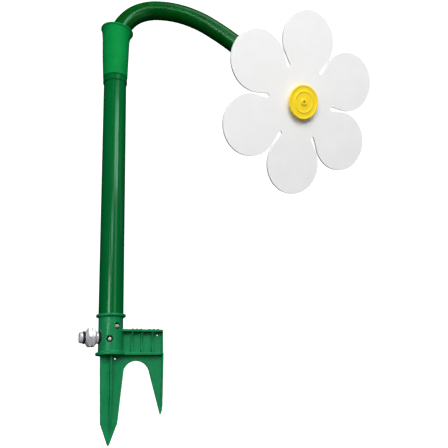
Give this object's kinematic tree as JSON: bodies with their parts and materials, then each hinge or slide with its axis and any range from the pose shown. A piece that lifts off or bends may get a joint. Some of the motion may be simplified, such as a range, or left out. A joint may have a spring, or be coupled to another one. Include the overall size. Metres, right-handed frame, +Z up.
{
  "type": "whirling flower lawn sprinkler",
  "caption": "Lawn sprinkler on a two-pronged ground stake: an upright pipe with a side water inlet, and a flexible hose neck that whirls a petalled flower with a round nozzle.",
  "frame": {"origin": "on the pole's axis at ground level, on the underside of the stake's lower plate", "axes": "+Z up along the pole, +X from the pole towards the step and the flower, -X out of the water inlet, -Y the front"},
  "size_m": [0.3704, 0.177, 0.6006],
  "materials": {
    "stake_green": "moulded plastic, satin, fine grain, soft edge wear",
    "pole_green": "glossy painted pipe with a long bright streak",
    "cone_green": "soft satin plastic, lighter green",
    "hose_green": "dark green flexible hose, soft gloss",
    "petal_white": "flat white sheet, very fine grain, clean cut edges",
    "cap_yellow": "warm yellow moulded plastic, satin gloss",
    "fitting_black": "black moulded fitting",
    "rubber_black": "black rubber",
    "chrome": "bright plated metal",
    "ferrule_metal": "crimped aluminium band",
    "screw_steel": "zinc plated steel"
  },
  "bodies": {
    "base": {"stake_body": "stake_green", "inlet_elbow": "fitting_black", "hose_nipple": "chrome", "nipple_oring": "rubber_black", "inlet_seal": "rubber_black", "collar_screw_upper": "screw_steel", "collar_screw_lower": "screw_steel", "pole_tube": "pole_green", "top_collar": "pole_green", "riser_hose": "hose_green"},
    "neck_root": {"cone_guide": "cone_green", "neck_hose_root": "hose_green"},
    "neck_low": {"neck_hose_1": "hose_green"},
    "neck_crown": {"neck_hose_2": "hose_green"},
    "neck_drop": {"neck_hose_3": "hose_green"},
    "flower_head": {"neck_hose_4": "hose_green", "hose_ferrule": "ferrule_metal", "nozzle_stem": "fitting_black", "petal_washer": "rubber_black", "flower_petals": "petal_white", "cap_gasket": "rubber_black", "nozzle_cap": "cap_yellow"}
  },
  "joints": [
    {"name": "neck_whirl", "type": "hinge", "parent": "base", "child": "neck_root", "pos_m": [0, 0, 0.3718], "axis": [0, 0, 1], "continuous": true},
    {"name": "neck_flex", "type": "hinge", "parent": "neck_root", "child": "neck_low", "pos_m": [0.00509, -0.00108, 0.44681], "axis": [0.2079, 0.9781, 0], "range_deg": [-12, 8], "stiffness_Nm_per_rad": 2, "springref_deg": -6.88},
    {"name": "crown_flex", "type": "hinge", "parent": "neck_low", "child": "neck_crown", "pos_m": [0.07662, -0.01629, 0.48438], "axis": [0.2079, 0.9781, 0], "range_deg": [-12, 8], "stiffness_Nm_per_rad": 2, "springref_deg": -6.88},
    {"name": "drop_flex", "type": "hinge", "parent": "neck_crown", "child": "neck_drop", "pos_m": [0.15507, -0.03295, 0.44749], "axis": [0.2079, 0.9781, 0], "range_deg": [-12, 8], "stiffness_Nm_per_rad": 2, "springref_deg": -6.88},
    {"name": "tip_flex", "type": "hinge", "parent": "neck_drop", "child": "flower_head", "pos_m": [0.21365, -0.04915, 0.38324], "axis": [0.2079, 0.9781, 0], "range_deg": [-12, 8], "stiffness_Nm_per_rad": 2, "springref_deg": -6.88}
  ],
  "couplings": [
    {"joint": "crown_flex", "follows": "neck_flex", "ratio": 1},
    {"joint": "drop_flex", "follows": "neck_flex", "ratio": 1},
    {"joint": "tip_flex", "follows": "neck_flex", "ratio": 1}
  ]
}
